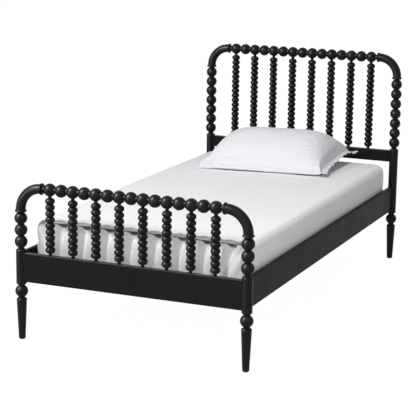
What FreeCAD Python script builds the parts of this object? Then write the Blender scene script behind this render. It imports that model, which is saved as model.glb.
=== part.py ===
# Twin spindle bed: turned posts, beaded end boards, side rails, slats, mattress and pillow.
# Millimetres. X runs across the bed, Y from the foot to the head and Z up. The origin is on
# the floor, under the middle of the bed.
import FreeCAD, Part
import math
import os
from FreeCAD import Vector

foot = -1
head = 1
left = -1
right = 1
full_turn = 360.0
quarter_turn = 90.0
across = Vector(1, 0, 0)
along = Vector(0, 1, 0)
upward = Vector(0, 0, 1)

# Mattress and pillow
mattress_width = 960.0
mattress_length = 1905.0
mattress_thickness = 200.0
mattress_crown = 5.0
mattress_side_bulge = 4.0
mattress_corner_radius = 75.0
mattress_top_edge = 34.0
mattress_bottom_edge = 20.0
mattress_side_gap = 5.5
mattress_end_gap = 33.5
rest_gap = 0.3
pillow_width = 620.0
pillow_depth = 486.0
pillow_thickness = 163.0
pillow_end_thickness = 16.0
pillow_crest_setback = 60.0
pillow_fullness = 5.0
pillow_seam_front = 12.0
pillow_seam_back = 60.0
pillow_drawn_in = 14.0
pillow_skew = 26.0
pillow_turn = 7.0
pillow_from_head = 285.0
pillow_offset = -6.0

# Rails
side_rail_height = 122.0
side_rail_thickness = 20.0
side_rail_bottom = 252.0
side_rail_outset = 5.5
end_rail_height = 121.5
end_rail_thickness = 26.0
end_rail_bottom = 248.5
head_lower_rail_height = 100.0
cross_rail_height = 57.0
cross_rail_bottom = 500.0
rail_edge_radius = 3.0

# Turned posts
leg_height = 176.5
leg_foot_diameter = 28.5
leg_top_diameter = 43.0
leg_foot_chamfer = 1.5
leg_ball_height = 206.0
block_bottom = 234.6
block_diameter = 43.5
shoulder_height = 6.0
shoulder_neck_diameter = 28.0
foot_block_above_rail = 15.0
head_block_above_rail = 9.0
block_to_ball = 31.0
ball_diameter = 53.5
post_neck_diameter = 26.0
shortest_neck = 2.0
glide_diameter = 22.0
glide_thickness = 3.0
glide_nail_diameter = 2.5
glide_nail_length = 14.0

# Top rails and bent corners
foot_top_rail_height = 644.0
head_top_rail_height = 1021.0
top_rail_neck_diameter = 25.0
top_rail_end_margin = 33.0
bend_radius = 93.5
bend_diameter = 41.0
collar_diameter = 49.0
collar_thickness = 9.5
collar_face_diameter = 43.0

# Spindles
spindle_diameter = 40.0
spindle_waist_diameter = 23.0
spindle_end_diameter = 41.0
spindle_end_half_height = 13.6
spindle_neck_diameter = 15.0
spindle_bead_pitch = 25.0
spindle_top_margin = 21.0
spindle_bottom_margin = 24.0
spindle_tenon_diameter = 13.0
spindle_tenon_length = 11.0
balls_per_spindle = 2

# Joinery
joint_clearance = 0.1
joint_end_clearance = 1.0
rail_seat = 15.0
tenon_thickness = 8.0
tenon_length = 12.0
tenon_shoulder = 15.0
dowel_diameter = 10.0
dowel_length = 46.0

# Hook fittings of the side rails
plate_width = 15.0
plate_height = 100.0
plate_thickness = 2.5
plate_screw_spacing = 86.0
hook_spacing = 50.0
hook_thickness = 3.5
hook_neck_height = 12.0
hook_drop = 7.0
hook_tongue = 3.5
hook_play = 0.3

# Slats, cleats, straps and screws
slat_count = 13
slat_width = 70.0
slat_thickness = 18.0
slat_edge_radius = 2.0
slat_end_gap = 2.0
slat_end_margin = 55.0
cleat_width = 22.0
cleat_height = 25.0
cleat_overrun = 10.0
strap_width = 25.0
strap_thickness = 1.2
strap_offset = 230.0
screw_diameter = 4.0
screw_head_diameter = 8.0
screw_head_height = 2.4
slat_screw_length = 32.0
cleat_screw_length = 34.0
post_screw_length = 10.0
rail_screw_length = 25.0

# Places that follow from the sizes above
post_x = mattress_width / 2 + mattress_side_gap + side_rail_thickness - side_rail_outset
post_y = mattress_length / 2 + mattress_end_gap + end_rail_thickness / 2
side_rail_outer = post_x + side_rail_outset
side_rail_inner = side_rail_outer - side_rail_thickness
side_rail_middle = side_rail_outer - side_rail_thickness / 2
side_rail_top = side_rail_bottom + side_rail_height
end_rail_top = end_rail_bottom + end_rail_height
head_lower_rail_top = end_rail_bottom + head_lower_rail_height
cross_rail_top = cross_rail_bottom + cross_rail_height
seat_x = post_x - rail_seat
seat_y = post_y - rail_seat
cleat_top = side_rail_bottom + cleat_height
slat_top = cleat_top + slat_thickness
slat_reach = mattress_length / 2 - slat_end_margin
slat_pitch = 2 * slat_reach / (slat_count - 1)
mattress_bottom = slat_top + rest_gap
mattress_top = mattress_bottom + mattress_thickness
ball_radius = ball_diameter / 2
top_rail_end = post_x - bend_radius - collar_thickness
spindle_bore_radius = spindle_tenon_diameter / 2 + joint_clearance
spindle_bore_depth = spindle_tenon_length + joint_end_clearance
dowel_hole_radius = dowel_diameter / 2 + joint_clearance
dowel_hole_depth = dowel_length / 2 + joint_end_clearance
plate_middle = side_rail_bottom + side_rail_height / 2
top_rail_heights = {foot: foot_top_rail_height, head: head_top_rail_height}
spindle_rail_tops = {foot: end_rail_top, head: cross_rail_top}
block_tops = {
    foot: end_rail_top + foot_block_above_rail,
    head: cross_rail_top + head_block_above_rail,
}
end_names = {foot: "foot", head: "head"}
side_names = {left: "left", right: "right"}
parts = {}


def ball_half_height(neck_radius):
    # height over which a ball stands clear of its neck, from the ball's centre
    return math.sqrt(ball_radius**2 - neck_radius**2)


class Turning:
    # The half outline of a turned piece, followed from one end of its axis to the other.
    def __init__(self, start):
        self.start = Vector(0, 0, start)
        self.here = self.start
        self.edges = []

    def line(self, radius, height):
        there = Vector(radius, 0, height)
        if there.distanceToPoint(self.here) > Part.Precision.confusion():
            self.edges.append(Part.makeLine(self.here, there))
            self.here = there

    def arc(self, middle_radius, middle_height, radius, height):
        middle = Vector(middle_radius, 0, middle_height)
        there = Vector(radius, 0, height)
        self.edges.append(Part.Arc(self.here, middle, there).toShape())
        self.here = there

    def ball(self, centre, neck_radius):
        reach = ball_half_height(neck_radius)
        self.line(neck_radius, centre - reach)
        self.arc(ball_radius, centre, neck_radius, centre + reach)

    def shoulder(self, radius, height):
        # a rounded shoulder from here to the given radius, wide first or narrow first
        low, wide = self.here.z, max(self.here.x, radius)
        narrow = min(self.here.x, radius)
        bulge = math.sqrt(0.5)
        share = bulge if self.here.x > radius else 1 - bulge
        self.arc(narrow + (wide - narrow) * bulge, low + (height - low) * share, radius, height)

    def solid(self):
        self.line(0, self.here.z)
        outline = self.edges + [Part.makeLine(self.here, self.start)]
        face = Part.Face(Part.Wire(outline))
        return face.revolve(Vector(0, 0, 0), upward, full_turn)


def box(x_range, y_range, z_range):
    low = Vector(min(x_range), min(y_range), min(z_range))
    high = Vector(max(x_range), max(y_range), max(z_range))
    size = high - low
    return Part.makeBox(size.x, size.y, size.z, low)


def rod(start, direction, diameter, length):
    return Part.makeCylinder(diameter / 2, length, start, direction)


def screw(head_centre, direction, length):
    # a countersunk wood screw, its head flush with the surface at head_centre
    shank = rod(head_centre, direction, screw_diameter, length)
    cone = Part.makeCone(
        screw_head_diameter / 2, screw_diameter / 2, screw_head_height, head_centre, direction
    )
    return shank.fuse(cone).removeSplitter()


def round_long_edges(board, direction, radius):
    def runs_along(edge):
        tangent = edge.tangentAt(edge.FirstParameter)
        return tangent.cross(direction).Length < Part.Precision.confusion()

    edges = [edge for edge in board.Edges if runs_along(edge)]
    return board.makeFillet(radius, edges)


def moved(shape, place):
    copy = shape.copy()
    copy.translate(place)
    return copy


def dowel(middle, direction):
    return rod(middle - direction * (dowel_length / 2), direction, dowel_diameter, dowel_length)


def dowel_hole(mouth, direction):
    return rod(mouth, direction, 2 * dowel_hole_radius, dowel_hole_depth)


# Levels and places of the turned features


def collar_bottom(end):
    return top_rail_heights[end] - bend_radius - collar_thickness


def post_ball_heights(end):
    # evenly spaced from just above the block to just under the collar
    first = block_tops[end] + block_to_ball
    last = collar_bottom(end) - ball_radius
    least_pitch = 2 * ball_half_height(post_neck_diameter / 2) + shortest_neck
    steps = max(int((last - first) / least_pitch), 0)
    pitch = (last - first) / steps if steps else 0
    return [last - pitch * i for i in reversed(range(steps + 1))]


def top_rail_ball_places():
    # evenly spaced, with an odd number of balls so that a spindle stands under each end ball
    span = 2 * (top_rail_end - top_rail_end_margin)
    least_pitch = 2 * ball_half_height(top_rail_neck_diameter / 2) + shortest_neck
    steps = balls_per_spindle * int(span / (balls_per_spindle * least_pitch))
    return [span * (i / steps - 0.5) for i in range(steps + 1)]


def spindle_places():
    return top_rail_ball_places()[::balls_per_spindle]


def spindle_top(end):
    # the spindle's upper shoulder meets the mouth of its bore in the ball
    return top_rail_heights[end] - math.sqrt(ball_radius**2 - spindle_bore_radius**2)


# Joinery that a post shares with its rails


def end_rail_levels(end):
    # (bottom, top) of each rail between the two posts of an end board
    if end == foot:
        return [(end_rail_bottom, end_rail_top)]
    return [(end_rail_bottom, head_lower_rail_top), (cross_rail_bottom, cross_rail_top)]


def housing_cut(end, side, bottom, top):
    # the flat-bottomed housing in the post that takes the rail's full section
    y = end * post_y
    half = end_rail_thickness / 2 + joint_clearance
    inner_face = seat_x - block_diameter
    return box(
        (side * inner_face, side * seat_x),
        (y - half, y + half),
        (bottom - joint_clearance, top + joint_clearance),
    )


def tenon(end, side, bottom, top, grow, depth):
    y = end * post_y
    half = tenon_thickness / 2 + grow
    return box(
        (side * seat_x, side * (seat_x + depth)),
        (y - half, y + half),
        (bottom + tenon_shoulder - grow, top - tenon_shoulder + grow),
    )


def side_rail_housing(end, side):
    inner_face = seat_y - block_diameter
    return box(
        (side * (side_rail_inner - joint_clearance), side * (side_rail_outer + joint_clearance)),
        (end * inner_face, end * seat_y),
        (side_rail_bottom - joint_clearance, side_rail_top + joint_clearance),
    )


# Hook fittings. A slot plate is let into the post at the seat, and a hook plate into the
# rail's end, so that their faces meet at the seat and each hook drops behind its slot.


def hook_heights():
    return [plate_middle - hook_spacing / 2, plate_middle + hook_spacing / 2]


def plate_screw_heights():
    return [plate_middle - plate_screw_spacing / 2, plate_middle + plate_screw_spacing / 2]


def plate_box(end, side, outward, grow):
    # outward is 1 for the plate in the post and -1 for the plate in the rail
    half_width = plate_width / 2 + grow
    half_height = plate_height / 2 + grow
    x = side * side_rail_middle
    return box(
        (x - half_width, x + half_width),
        (end * seat_y, end * (seat_y + outward * plate_thickness)),
        (plate_middle - half_height, plate_middle + half_height),
    )


def hook(end, side, height):
    # the neck passes through the slot and the tongue hangs behind the post's plate
    x = side * side_rail_middle
    reach = plate_thickness + hook_play + hook_tongue
    x_range = (x - hook_thickness / 2, x + hook_thickness / 2)
    neck = box(x_range, (end * seat_y, end * (seat_y + reach)), (height, height + hook_neck_height))
    tongue = box(
        x_range,
        (end * (seat_y + reach - hook_tongue), end * (seat_y + reach)),
        (height - hook_drop, height + hook_neck_height),
    )
    return neck.fuse(tongue).removeSplitter()


def hook_slot(end, side, height):
    x = side * side_rail_middle
    half = hook_thickness / 2 + hook_play
    return box(
        (x - half, x + half),
        (end * seat_y, end * (seat_y + plate_thickness)),
        (height, height + hook_neck_height + hook_drop + hook_play),
    )


def hook_room(end, side):
    # the mortise behind the slot plate in which the hooks drop
    x = side * side_rail_middle
    half = hook_thickness / 2 + joint_end_clearance
    low, high = hook_heights()
    depth = plate_thickness + hook_play + hook_tongue + joint_end_clearance
    return box(
        (x - half, x + half),
        (end * seat_y, end * (seat_y + depth)),
        (low - hook_drop - joint_end_clearance, high + hook_neck_height + hook_drop),
    )


def plate_screws(end, side, outward):
    # outward is 1 for the screws in the post and -1 for those in the rail
    x = side * side_rail_middle
    direction = along * (end * outward)
    length = post_screw_length if outward > 0 else rail_screw_length
    return [screw(Vector(x, end * seat_y, z), direction, length) for z in plate_screw_heights()]


def slot_plate(end, side):
    slots = [hook_slot(end, side, z) for z in hook_heights()]
    return plate_box(end, side, 1, 0).cut(slots + plate_screws(end, side, 1))


def hook_plate(end, side):
    hooks = [hook(end, side, z) for z in hook_heights()]
    plate = plate_box(end, side, -1, 0).fuse(hooks).removeSplitter()
    return plate.cut(plate_screws(end, side, -1))


# Posts


def glide(end, side):
    disc = Part.makeCylinder(glide_diameter / 2, glide_thickness)
    nail = Part.makeCylinder(glide_nail_diameter / 2, glide_nail_length)
    return moved(disc.fuse(nail).removeSplitter(), Vector(side * post_x, end * post_y, 0))


def post(end, side):
    neck = shoulder_neck_diameter / 2
    half_neck = post_neck_diameter / 2
    turning = Turning(glide_thickness)
    turning.line(leg_foot_diameter / 2 - leg_foot_chamfer, glide_thickness)
    turning.line(leg_foot_diameter / 2, glide_thickness + leg_foot_chamfer)
    turning.line(leg_top_diameter / 2, leg_height - shoulder_height)
    turning.shoulder(neck, leg_height)
    turning.ball(leg_ball_height, neck)
    turning.line(neck, block_bottom)
    turning.shoulder(block_diameter / 2, block_bottom + shoulder_height)
    turning.line(block_diameter / 2, block_tops[end] - shoulder_height)
    turning.shoulder(neck, block_tops[end])
    turning.line(half_neck, block_tops[end])
    for height in post_ball_heights(end):
        turning.ball(height, half_neck)
    turning.line(half_neck, collar_bottom(end))
    body = moved(turning.solid(), Vector(side * post_x, end * post_y, 0))
    cuts = [
        dowel_hole(Vector(side * post_x, end * post_y, collar_bottom(end)), -upward),
        side_rail_housing(end, side),
        plate_box(end, side, 1, joint_clearance),
        hook_room(end, side),
        glide(end, side),
    ]
    cuts += plate_screws(end, side, 1)
    for bottom, top in end_rail_levels(end):
        cuts.append(housing_cut(end, side, bottom, top))
        depth = tenon_length + joint_end_clearance
        cuts.append(tenon(end, side, bottom, top, joint_clearance, depth))
    return body.cut(cuts)


# Bent corners, each a quarter bend between two ring collars


def collar():
    # a ring with a rounded rim, standing on its lower face
    turning = Turning(0)
    turning.line(collar_face_diameter / 2, 0)
    turning.arc(
        collar_diameter / 2, collar_thickness / 2, collar_face_diameter / 2, collar_thickness
    )
    return turning.solid()


def corner(end, side):
    height = top_rail_heights[end]
    y = end * post_y
    start = Vector(side * post_x, y, height - bend_radius)
    centre = Vector(side * (post_x - bend_radius), y, height - bend_radius)
    section = Part.Face(Part.Wire(Part.makeCircle(bend_diameter / 2, start, upward)))
    bend = section.revolve(centre, along * -side, quarter_turn)
    low_collar = moved(collar(), Vector(side * post_x, y, collar_bottom(end)))
    high_collar = collar()
    high_collar.rotate(Vector(0, 0, 0), along, quarter_turn * side)
    high_collar.translate(Vector(side * top_rail_end, y, height))
    body = bend.fuse([low_collar, high_collar]).removeSplitter()
    holes = [
        dowel_hole(Vector(side * post_x, y, collar_bottom(end)), upward),
        dowel_hole(Vector(side * top_rail_end, y, height), across * side),
    ]
    return body.cut(holes)


def corner_dowels(end, side):
    y = end * post_y
    return [
        dowel(Vector(side * post_x, y, collar_bottom(end)), upward),
        dowel(Vector(side * top_rail_end, y, top_rail_heights[end]), across),
    ]


# End boards: top rail, spindles and the rails that they stand on


def top_rail(end):
    neck = top_rail_neck_diameter / 2
    place = Vector(0, end * post_y, top_rail_heights[end])
    turning = Turning(-top_rail_end)
    turning.line(neck, -top_rail_end)
    for x in top_rail_ball_places():
        turning.ball(x, neck)
    turning.line(neck, top_rail_end)
    body = turning.solid()
    body.rotate(Vector(0, 0, 0), along, quarter_turn)
    body.translate(place)
    bores = [
        rod(
            Vector(x, end * post_y, spindle_top(end) + spindle_bore_depth),
            -upward,
            2 * spindle_bore_radius,
            spindle_bore_depth + ball_radius,
        )
        for x in spindle_places()
    ]
    holes = [
        dowel_hole(Vector(side * top_rail_end, end * post_y, top_rail_heights[end]), across * -side)
        for side in (left, right)
    ]
    return body.cut(bores + holes)


def spindle(end):
    # beads of one pitch that meet in a sharp waist, with a rounder bead next to each neck
    bottom = spindle_rail_tops[end]
    top = spindle_top(end)
    low_bead = bottom + spindle_bottom_margin
    high_bead = top - spindle_top_margin
    steps = round((high_bead - low_bead) / spindle_bead_pitch)
    pitch = (high_bead - low_bead) / steps
    waist = spindle_waist_diameter / 2
    bead = spindle_diameter / 2
    end_bead = spindle_end_diameter / 2
    neck = spindle_neck_diameter / 2
    tenon_radius = spindle_tenon_diameter / 2
    turning = Turning(bottom - spindle_tenon_length)
    turning.line(tenon_radius, bottom - spindle_tenon_length)
    turning.line(tenon_radius, bottom)
    turning.line(neck, bottom)
    turning.line(neck, low_bead - spindle_end_half_height)
    turning.arc(end_bead, low_bead, waist, low_bead + pitch / 2)
    for i in range(1, steps):
        middle = low_bead + pitch * i
        turning.arc(bead, middle, waist, middle + pitch / 2)
    turning.arc(end_bead, high_bead, neck, high_bead + spindle_end_half_height)
    turning.line(neck, top)
    turning.line(tenon_radius, top)
    turning.line(tenon_radius, top + spindle_tenon_length)
    return turning.solid()


def end_rail(end, bottom, top):
    y = end * post_y
    half = end_rail_thickness / 2
    board = box((-seat_x, seat_x), (y - half, y + half), (bottom, top))
    board = round_long_edges(board, across, rail_edge_radius)
    tenons = [tenon(end, side, bottom, top, 0, tenon_length) for side in (left, right)]
    return board.fuse(tenons).removeSplitter()


def bored_for_spindles(board, end):
    bores = [
        rod(
            Vector(x, end * post_y, spindle_rail_tops[end] - spindle_bore_depth),
            upward,
            2 * spindle_bore_radius,
            spindle_bore_depth,
        )
        for x in spindle_places()
    ]
    return board.cut(bores)


# Side rails, cleats and slats


def slat_places():
    return [-slat_reach + slat_pitch * i for i in range(slat_count)]


def cleat_screws(side):
    # one screw in every second gap between slats
    gaps = [y + slat_pitch / 2 for y in slat_places()[:-1:2]]
    start = side_rail_inner - cleat_width
    height = side_rail_bottom + cleat_height / 2
    return [
        screw(Vector(side * start, y, height), across * side, cleat_screw_length) for y in gaps
    ]


def slat_screws(y):
    x = side_rail_inner - cleat_width / 2
    return [
        screw(Vector(side * x, y, slat_top), -upward, slat_screw_length) for side in (left, right)
    ]


def side_rail(side):
    board = box(
        (side * side_rail_inner, side * side_rail_outer),
        (-seat_y, seat_y),
        (side_rail_bottom, side_rail_top),
    )
    board = round_long_edges(board, along, rail_edge_radius)
    cuts = cleat_screws(side)
    for end in (foot, head):
        cuts.append(plate_box(end, side, -1, joint_clearance))
        cuts += plate_screws(end, side, -1)
    return board.cut(cuts)


def cleat(side):
    reach = slat_reach + slat_width / 2 + cleat_overrun
    board = box(
        (side * (side_rail_inner - cleat_width), side * side_rail_inner),
        (-reach, reach),
        (side_rail_bottom, cleat_top),
    )
    cuts = cleat_screws(side)
    for y in slat_places():
        cuts += slat_screws(y)
    return board.cut(cuts)


def slat(y):
    reach = side_rail_inner - slat_end_gap
    board = box((-reach, reach), (y - slat_width / 2, y + slat_width / 2), (cleat_top, slat_top))
    board = round_long_edges(board, across, slat_edge_radius)
    return board.cut(slat_screws(y))


def strap(side):
    reach = slat_reach + slat_width / 2
    x = side * strap_offset
    return box(
        (x - strap_width / 2, x + strap_width / 2),
        (-reach, reach),
        (cleat_top - strap_thickness, cleat_top),
    )


# Mattress and pillow


def rounding(radius, depth):
    # how far a rounded edge has drawn in at this depth behind its end face
    return radius - math.sqrt(radius**2 - (radius - min(depth, radius)) ** 2)


def mattress_section(depth, y):
    # a crowned top, a flat bottom and sides that bulge a little
    half = mattress_width / 2 - mattress_side_bulge - rounding(mattress_corner_radius, depth)
    top = mattress_top - mattress_crown - rounding(mattress_top_edge, depth)
    bottom = mattress_bottom + rounding(mattress_bottom_edge, depth)
    upper = mattress_top_edge
    lower = mattress_bottom_edge
    middle = (top - upper + bottom + lower) / 2
    bevel = 1 - math.sqrt(0.5)

    def at(x, z):
        return Vector(x, y, z)

    def side_edges(side):
        shoulder = at(side * half, top - upper)
        heel = at(side * half, bottom + lower)
        brow = at(side * (half - upper), top)
        base = at(side * (half - lower), bottom)
        brow_middle = at(side * (half - bevel * upper), top - bevel * upper)
        base_middle = at(side * (half - bevel * lower), bottom + bevel * lower)
        belly = at(side * (half + mattress_side_bulge), middle)
        return [
            Part.Arc(base, base_middle, heel).toShape(),
            Part.Arc(heel, belly, shoulder).toShape(),
            Part.Arc(shoulder, brow_middle, brow).toShape(),
        ]

    crown = Part.Arc(
        at(half - upper, top), at(0, top + mattress_crown), at(upper - half, top)
    ).toShape()
    floor = Part.makeLine(at(lower - half, bottom), at(half - lower, bottom))
    return Part.Wire([floor] + side_edges(right) + [crown] + side_edges(left)[::-1])


def mattress():
    end_y = mattress_length / 2
    full = end_y - mattress_corner_radius
    shares = [0.0, 0.03, 0.12, 0.3, 0.6, 1.0]
    pieces = []
    for end in (foot, head):
        depths = [share * mattress_corner_radius for share in shares]
        sections = [mattress_section(depth, end * (end_y - depth)) for depth in depths]
        pieces.append(Part.makeLoft(sections, True, False))
    middle_face = Part.Face(mattress_section(mattress_corner_radius, -full))
    pieces.append(middle_face.extrude(along * (2 * full)))
    return pieces[0].fuse(pieces[1:]).removeSplitter()


def pillow():
    # sections across the width: a high arc over a flat one, which meet in a seam at the
    # front and the back; the seams are drawn in between the corners, and the whole pillow
    # lies askew and a little turned
    half = pillow_width / 2
    seam_middle = (pillow_seam_front + pillow_seam_back) / 2
    seam_rise = (pillow_seam_back - pillow_seam_front) / 2
    half_end = pillow_end_thickness / 2

    def section(share):
        fullness = math.sqrt(1 - abs(share) ** pillow_fullness)
        reach = pillow_depth / 2 - pillow_drawn_in * fullness
        crest = pillow_crest_setback * fullness

        def at(y, z):
            return Vector(share * half + pillow_skew * y / reach, y, z)

        front = at(-reach, pillow_seam_front)
        back = at(reach, pillow_seam_back)
        seam_at_crest = seam_middle + seam_rise * crest / reach
        top = at(crest, max(pillow_thickness * fullness, seam_at_crest + half_end))
        under = at(0, seam_middle * (1 - fullness) - half_end)
        upper = Part.Arc(front, top, back).toShape()
        lower = Part.Arc(back, under, front).toShape()
        return Part.Wire([upper, lower])

    shares = [0.4, 0.7, 0.88, 0.97, 1.0]
    places = [-share for share in reversed(shares)] + [0.0] + shares
    body = Part.makeLoft([section(share) for share in places], True, False)
    body.rotate(Vector(0, 0, 0), upward, pillow_turn)
    lowest = body.optimalBoundingBox().ZMin
    place = Vector(pillow_offset, mattress_length / 2 - pillow_from_head, 0)
    body.translate(place + upward * (mattress_top + rest_gap - lowest))
    return body


# Every piece under its name

for end in (foot, head):
    end_name = end_names[end]
    for side in (left, right):
        side_name = side_names[side]
        parts[f"{end_name}_post_{side_name}"] = post(end, side)
        parts[f"{end_name}_corner_{side_name}"] = corner(end, side)
    parts[f"{end_name}_top_rail"] = top_rail(end)
    turned = spindle(end)
    for number, x in enumerate(spindle_places(), start=1):
        parts[f"{end_name}_spindle_{number}"] = moved(turned, Vector(x, end * post_y, 0))

parts["foot_rail"] = bored_for_spindles(end_rail(foot, end_rail_bottom, end_rail_top), foot)
parts["head_cross_rail"] = bored_for_spindles(end_rail(head, cross_rail_bottom, cross_rail_top), head)
parts["head_lower_rail"] = end_rail(head, end_rail_bottom, head_lower_rail_top)

for side in (left, right):
    side_name = side_names[side]
    parts[f"side_rail_{side_name}"] = side_rail(side)
    parts[f"slat_cleat_{side_name}"] = cleat(side)
    parts[f"slat_strap_{side_name}"] = strap(side)

for number, y in enumerate(slat_places(), start=1):
    parts[f"slat_{number}"] = slat(y)

posts = [(end, side) for end in (foot, head) for side in (left, right)]
parts["corner_dowels"] = Part.Compound([d for end, side in posts for d in corner_dowels(end, side)])
parts["slot_plates"] = Part.Compound([slot_plate(end, side) for end, side in posts])
parts["hook_plates"] = Part.Compound([hook_plate(end, side) for end, side in posts])
parts["plate_screws"] = Part.Compound(
    [s for end, side in posts for outward in (1, -1) for s in plate_screws(end, side, outward)]
)
parts["cleat_screws"] = Part.Compound(cleat_screws(left) + cleat_screws(right))
parts["slat_screws"] = Part.Compound([s for y in slat_places() for s in slat_screws(y)])
parts["foot_glides"] = Part.Compound([glide(end, side) for end, side in posts])
parts["mattress"] = mattress()
parts["pillow"] = pillow()

os.makedirs("parts", exist_ok=True)
for name, shape in parts.items():
    shape.exportStep(f"parts/{name}.step")
print(len(parts), "nodes")
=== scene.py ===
import math

import bpy
import numpy as np
from mathutils import Matrix, Vector


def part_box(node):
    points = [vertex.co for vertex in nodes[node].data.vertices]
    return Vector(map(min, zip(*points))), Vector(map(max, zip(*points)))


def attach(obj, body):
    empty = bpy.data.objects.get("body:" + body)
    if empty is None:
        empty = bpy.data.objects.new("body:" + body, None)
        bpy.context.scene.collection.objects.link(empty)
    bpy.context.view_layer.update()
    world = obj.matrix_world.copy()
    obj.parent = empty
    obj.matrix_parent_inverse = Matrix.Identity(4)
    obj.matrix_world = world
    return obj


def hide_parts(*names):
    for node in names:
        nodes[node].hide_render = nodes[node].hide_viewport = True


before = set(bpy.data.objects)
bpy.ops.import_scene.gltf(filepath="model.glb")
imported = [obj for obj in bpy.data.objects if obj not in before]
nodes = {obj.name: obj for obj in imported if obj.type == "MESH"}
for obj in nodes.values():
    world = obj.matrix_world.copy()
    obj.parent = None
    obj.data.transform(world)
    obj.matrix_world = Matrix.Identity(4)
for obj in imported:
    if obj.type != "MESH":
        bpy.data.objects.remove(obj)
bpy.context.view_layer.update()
print("frame loaded:", len(nodes), "nodes")


def newGroup(name, inputs, outputs):
    group = bpy.data.node_groups.new(name, "ShaderNodeTree")
    for label, kind, value in inputs:
        socket = group.interface.new_socket(label, in_out="INPUT", socket_type=kind)
        if value is not None:
            socket.default_value = value
    for label, kind in outputs:
        group.interface.new_socket(label, in_out="OUTPUT", socket_type=kind)
    return group, group.nodes.new("NodeGroupInput"), group.nodes.new("NodeGroupOutput")


def addNode(tree, kind, settings=None, **values):
    # settings are properties of the node; values are its inputs, by name with _ for a
    # space, or by number as i0, i1 and so on
    node = tree.nodes.new(kind)
    for key, value in (settings or {}).items():
        setattr(node, key, value)
    for key, value in values.items():
        numbered = key[0] == "i" and key[1:].isdigit()
        socket = node.inputs[int(key[1:]) if numbered else key.replace("_", " ")]
        if isinstance(value, bpy.types.NodeSocket):
            tree.links.new(value, socket)
        else:
            socket.default_value = value
    return node


def mathNode(tree, operation, a, b=0.0):
    return addNode(tree, "ShaderNodeMath", {"operation": operation}, i0=a, i1=b).outputs[0]


floatIn, vectorIn = "NodeSocketFloat", "NodeSocketVector"

grain = {
    "broad": {"Detail": 5.0, "Roughness": 0.6, "Distortion": 0.6},
    "fine": {"Detail": 3.0, "Roughness": 0.7}, "timesFiner": 6.0, "porePower": 3.0,
}


def makeGrain():
    # wood figure: broad noise about its middle value, with the contrast as a factor, and
    # pores as a power of finer noise; both are drawn out by the stretch of the given point
    group, given, result = newGroup(
        "woodFigure",
        [("Vector", vectorIn, None), ("Scale", floatIn, 1.0), ("Contrast", floatIn, 1.0)],
        [("Figure", floatIn), ("Pores", floatIn)],
    )
    put, ends = given.outputs, result.inputs
    fineScale = mathNode(group, "MULTIPLY", put["Scale"], grain["timesFiner"])
    broad = addNode(group, "ShaderNodeTexNoise", Vector=put["Vector"], Scale=put["Scale"],
                    **grain["broad"])
    fine = addNode(group, "ShaderNodeTexNoise", Vector=put["Vector"], Scale=fineScale,
                   **grain["fine"])
    centred = mathNode(group, "SUBTRACT", broad.outputs["Fac"], 0.5)
    figure = mathNode(group, "ADD", mathNode(group, "MULTIPLY", centred, put["Contrast"]), 0.5)
    group.links.new(figure, ends["Figure"])
    pores = mathNode(group, "POWER", fine.outputs["Fac"], grain["porePower"])
    group.links.new(pores, ends["Pores"])
    return group


threadForm = {
    "slubs": {"Scale": 90.0, "Detail": 4.0, "Roughness": 0.65}, "raised": 0.35,
}


def makeWeave():
    # plain weave: the product of two crossed sine waves, one for each set of threads, plus
    # noise about its middle value for the thick places in the yarn
    group, given, result = newGroup(
        "plainWeave",
        [("Vector", vectorIn, None), ("Threads", floatIn, 900.0), ("Slub", floatIn, 0.4)],
        [("Height", floatIn), ("Shade", floatIn)],
    )
    put, ends = given.outputs, result.inputs
    axes = addNode(group, "ShaderNodeSeparateXYZ", i0=put["Vector"]).outputs
    threads = []
    for axis in (axes[0], axes[1]):
        turns = mathNode(group, "MULTIPLY", axis, put["Threads"])
        threads.append(mathNode(group, "SINE", turns))
    crossed = mathNode(group, "MULTIPLY", threads[0], threads[1])
    slubs = addNode(group, "ShaderNodeTexNoise", Vector=put["Vector"], **threadForm["slubs"])
    uneven = mathNode(group, "SUBTRACT", slubs.outputs["Fac"], 0.5)
    raised = mathNode(group, "MULTIPLY", crossed, threadForm["raised"])
    height = mathNode(group, "ADD", raised, mathNode(group, "MULTIPLY", uneven, put["Slub"]))
    group.links.new(height, ends["Height"])
    group.links.new(slubs.outputs["Fac"], ends["Shade"])
    return group


blotch = {"noise": {"Detail": 4.0, "Roughness": 0.55}, "from": 0.3, "to": 0.7}


def makeBlotch():
    # handling: soft blotches of noise, spread between a low and a high value, that change
    # how a surface takes the light
    group, given, result = newGroup(
        "handling",
        [("Vector", vectorIn, None), ("Scale", floatIn, 6.0),
         ("Low", floatIn, 0.4), ("High", floatIn, 0.6)],
        [("Value", floatIn)],
    )
    put = given.outputs
    noise = addNode(group, "ShaderNodeTexNoise", Vector=put["Vector"], Scale=put["Scale"],
                    **blotch["noise"])
    spread = addNode(group, "ShaderNodeMapRange", i0=noise.outputs["Fac"],
                     i1=blotch["from"], i2=blotch["to"], i3=put["Low"], i4=put["High"])
    group.links.new(spread.outputs[0], result.inputs["Value"])
    return group


woodFigure, plainWeave, handling = makeGrain(), makeWeave(), makeBlotch()


def newMaterial(name):
    material = bpy.data.materials.new(name)
    material.use_nodes = True
    tree = material.node_tree
    return material, tree, tree.nodes["Principled BSDF"]


def placeGroup(tree, group, **values):
    return addNode(tree, "ShaderNodeGroup", {"node_tree": group}, **values).outputs


def objectPoint(tree, stretch=(1.0, 1.0, 1.0)):
    point = addNode(tree, "ShaderNodeTexCoord").outputs["Object"]
    return addNode(tree, "ShaderNodeMapping", Vector=point, Scale=stretch).outputs[0]


def mixColors(tree, factor, a, b):
    # colour a where the factor is 0, and colour b where it is 1
    node = addNode(tree, "ShaderNodeMix", {"data_type": "RGBA"}, i0=factor, i6=a, i7=b)
    return node.outputs[2]


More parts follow.
